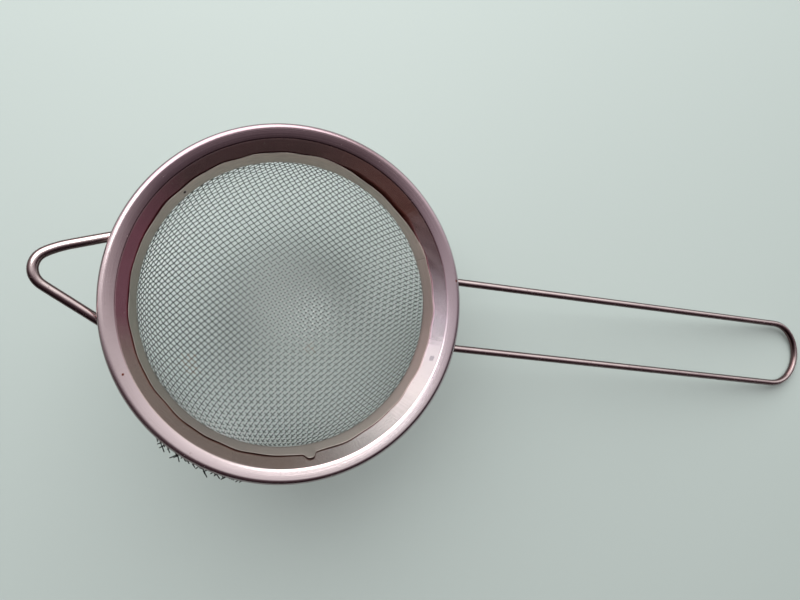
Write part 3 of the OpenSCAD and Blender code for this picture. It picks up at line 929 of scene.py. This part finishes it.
wireMaterial = wireSteel()
handleLine, restLine = handlePath(), restPath()
wirePiece("handleWire", handleLine, handle, "handle_wire", wireMaterial)
wirePiece("restWire", restLine, rest, "rest_wire", wireMaterial)
print("handle and rest made")


weld = {"lip": 0.42, "start": 0.55, "length": 1.3, "sides": 28}


def makeWeld(name, path, fromEnd, sizes, node, material):
    # A flared collar round the wire's end: radius falls from wire + lip to the wire's own, unevenly
    line = path if fromEnd == 0 else path[::-1]
    way = unit(line[4] - line[0])
    face = line[0]
    t = np.linspace(0, 1, 12)
    centre = face + way * (weld["start"] + (weld["length"] * t)[:, None])
    r = sizes["wire"] / 2
    flare = r + weld["lip"] * (1 - t) ** 1.7 * (1 + 0.15 * np.sin(5 * t)) - 0.02 * t
    piece = sweptPiece(name, centre, flare, weld["sides"], np.array([0.0, 0.0, 1.0]))
    return finishPiece(piece, material, node)


weldMaterial = plainSteel("weldSteel", (0.42, 0.37, 0.37), (0.25, 0.20, 0.20), 0.45, 500)
makeWeld("handleWeldRight", handleLine, 0, handle, "handle_welds", weldMaterial)
makeWeld("handleWeldLeft", handleLine, 1, handle, "handle_welds", weldMaterial)
makeWeld("restWeldLeft", restLine, 0, rest, "rest_welds", weldMaterial)
makeWeld("restWeldRight", restLine, 1, rest, "rest_welds", weldMaterial)
print("welds made")


studio = {
    "floor": (0.46, 0.535, 0.51), "floorHalf": 3.0,      # colour, and half of the floor's side in metres
    "cameraPlace": (-46.24, -6.64, 171.24),         # millimetres
    "cameraTurn": (-0.06417, -0.13391, 0.10284),    # from straight down: axis times angle, radians
    "lens": 27.05, "sensor": 36.0,
    "window": (-0.22, 0.95, 0.22),
    "sky": [(0.0, (0.012, 0.006, 0.008)), (0.40, (0.05, 0.03, 0.035)), (0.52, (0.22, 0.18, 0.195)),
            (0.62, (0.56, 0.52, 0.53)), (0.75, (1.0, 0.97, 0.97))],
    "skyStrength": 1.05,
    "light": {"place": (-0.14, 0.41, 0.45), "size": 0.80, "power": 4.9, "colour": (1.0, 1.0, 0.99)},
}


def makeFloor():
    r = newMaterial("mintFloor")
    cloud = r.noise(r.place(), 6, 3, 0.5)
    grain = r.noise(r.place(), 900, 2, 0.6)
    dark = tuple(c * 0.96 for c in studio["floor"])
    colour = r.blend(cloud, studio["floor"], dark)
    bump = r.add("ShaderNodeBump", {}, {"Strength": 0.08, "Distance": 0.0001, "Height": grain})
    material = r.finish(Base_Color=colour, Roughness=0.6, Normal=bump)
    size = studio["floorHalf"]
    points = np.array([[-size, -size, 0], [size, -size, 0], [size, size, 0], [-size, size, 0]])
    floor = buildMesh("floor", points + [0, 0, cadBounds[0].z], [np.array([[0, 1, 2, 3]])])
    floor.data.materials.append(material)


def makeCamera():
    turn = np.array(studio["cameraTurn"])
    angle = float(np.linalg.norm(turn))
    view = Matrix.Rotation(angle, 3, Vector(turn / angle)) @ Matrix.Diagonal(Vector((1, -1, -1)))
    # Rows of the view are the image's right, down and forward directions
    right, down, ahead = (Vector(view[k]) for k in range(3))
    data = bpy.data.cameras.new("camera")
    data.lens, data.sensor_width, data.sensor_fit = studio["lens"], studio["sensor"], "HORIZONTAL"
    data.clip_start, data.clip_end = 0.005, 10
    camera = bpy.data.objects.new("camera", data)
    bpy.context.scene.collection.objects.link(camera)
    turned = Matrix((right, -down, -ahead)).transposed().to_4x4()
    camera.matrix_world = Matrix.Translation(Vector(studio["cameraPlace"]) / 1000) @ turned
    bpy.context.scene.camera = camera


def softLight(name, sizes):
    data = bpy.data.lights.new(name, "AREA")
    data.shape, data.size, data.energy, data.color = "DISK", sizes["size"], sizes["power"], sizes["colour"]
    light = bpy.data.objects.new(name, data)
    light.location = sizes["place"]
    light.rotation_euler = (-Vector(sizes["place"])).to_track_quat("-Z", "Y").to_euler()
    bpy.context.scene.collection.objects.link(light)


def makeSky():
    # A dim mauve room with a wide bright window on the far side (+Y), and nothing on the near side
    bpy.context.scene.world = bpy.data.worlds.new("room")
    bpy.context.scene.view_settings.view_transform = "Standard"
    sky = Recipe(bpy.context.scene.world)
    way = sky.add("ShaderNodeTexCoord")
    toWindow = sky.add("ShaderNodeVectorMath", {"operation": "DOT_PRODUCT"}, {
        0: way, 1: tuple(Vector(studio["window"]).normalized())}, "Value")
    glow = sky.add("ShaderNodeValToRGB", {"stops": studio["sky"]}, {0: toWindow * 0.5 + 0.5})
    back = sky.tree.nodes["Background"]
    sky.join(back.inputs["Color"], glow)
    back.inputs["Strength"].default_value = studio["skyStrength"]


makeFloor()
makeCamera()
makeSky()
softLight("windowLight", studio["light"])
print("floor, light and camera made")
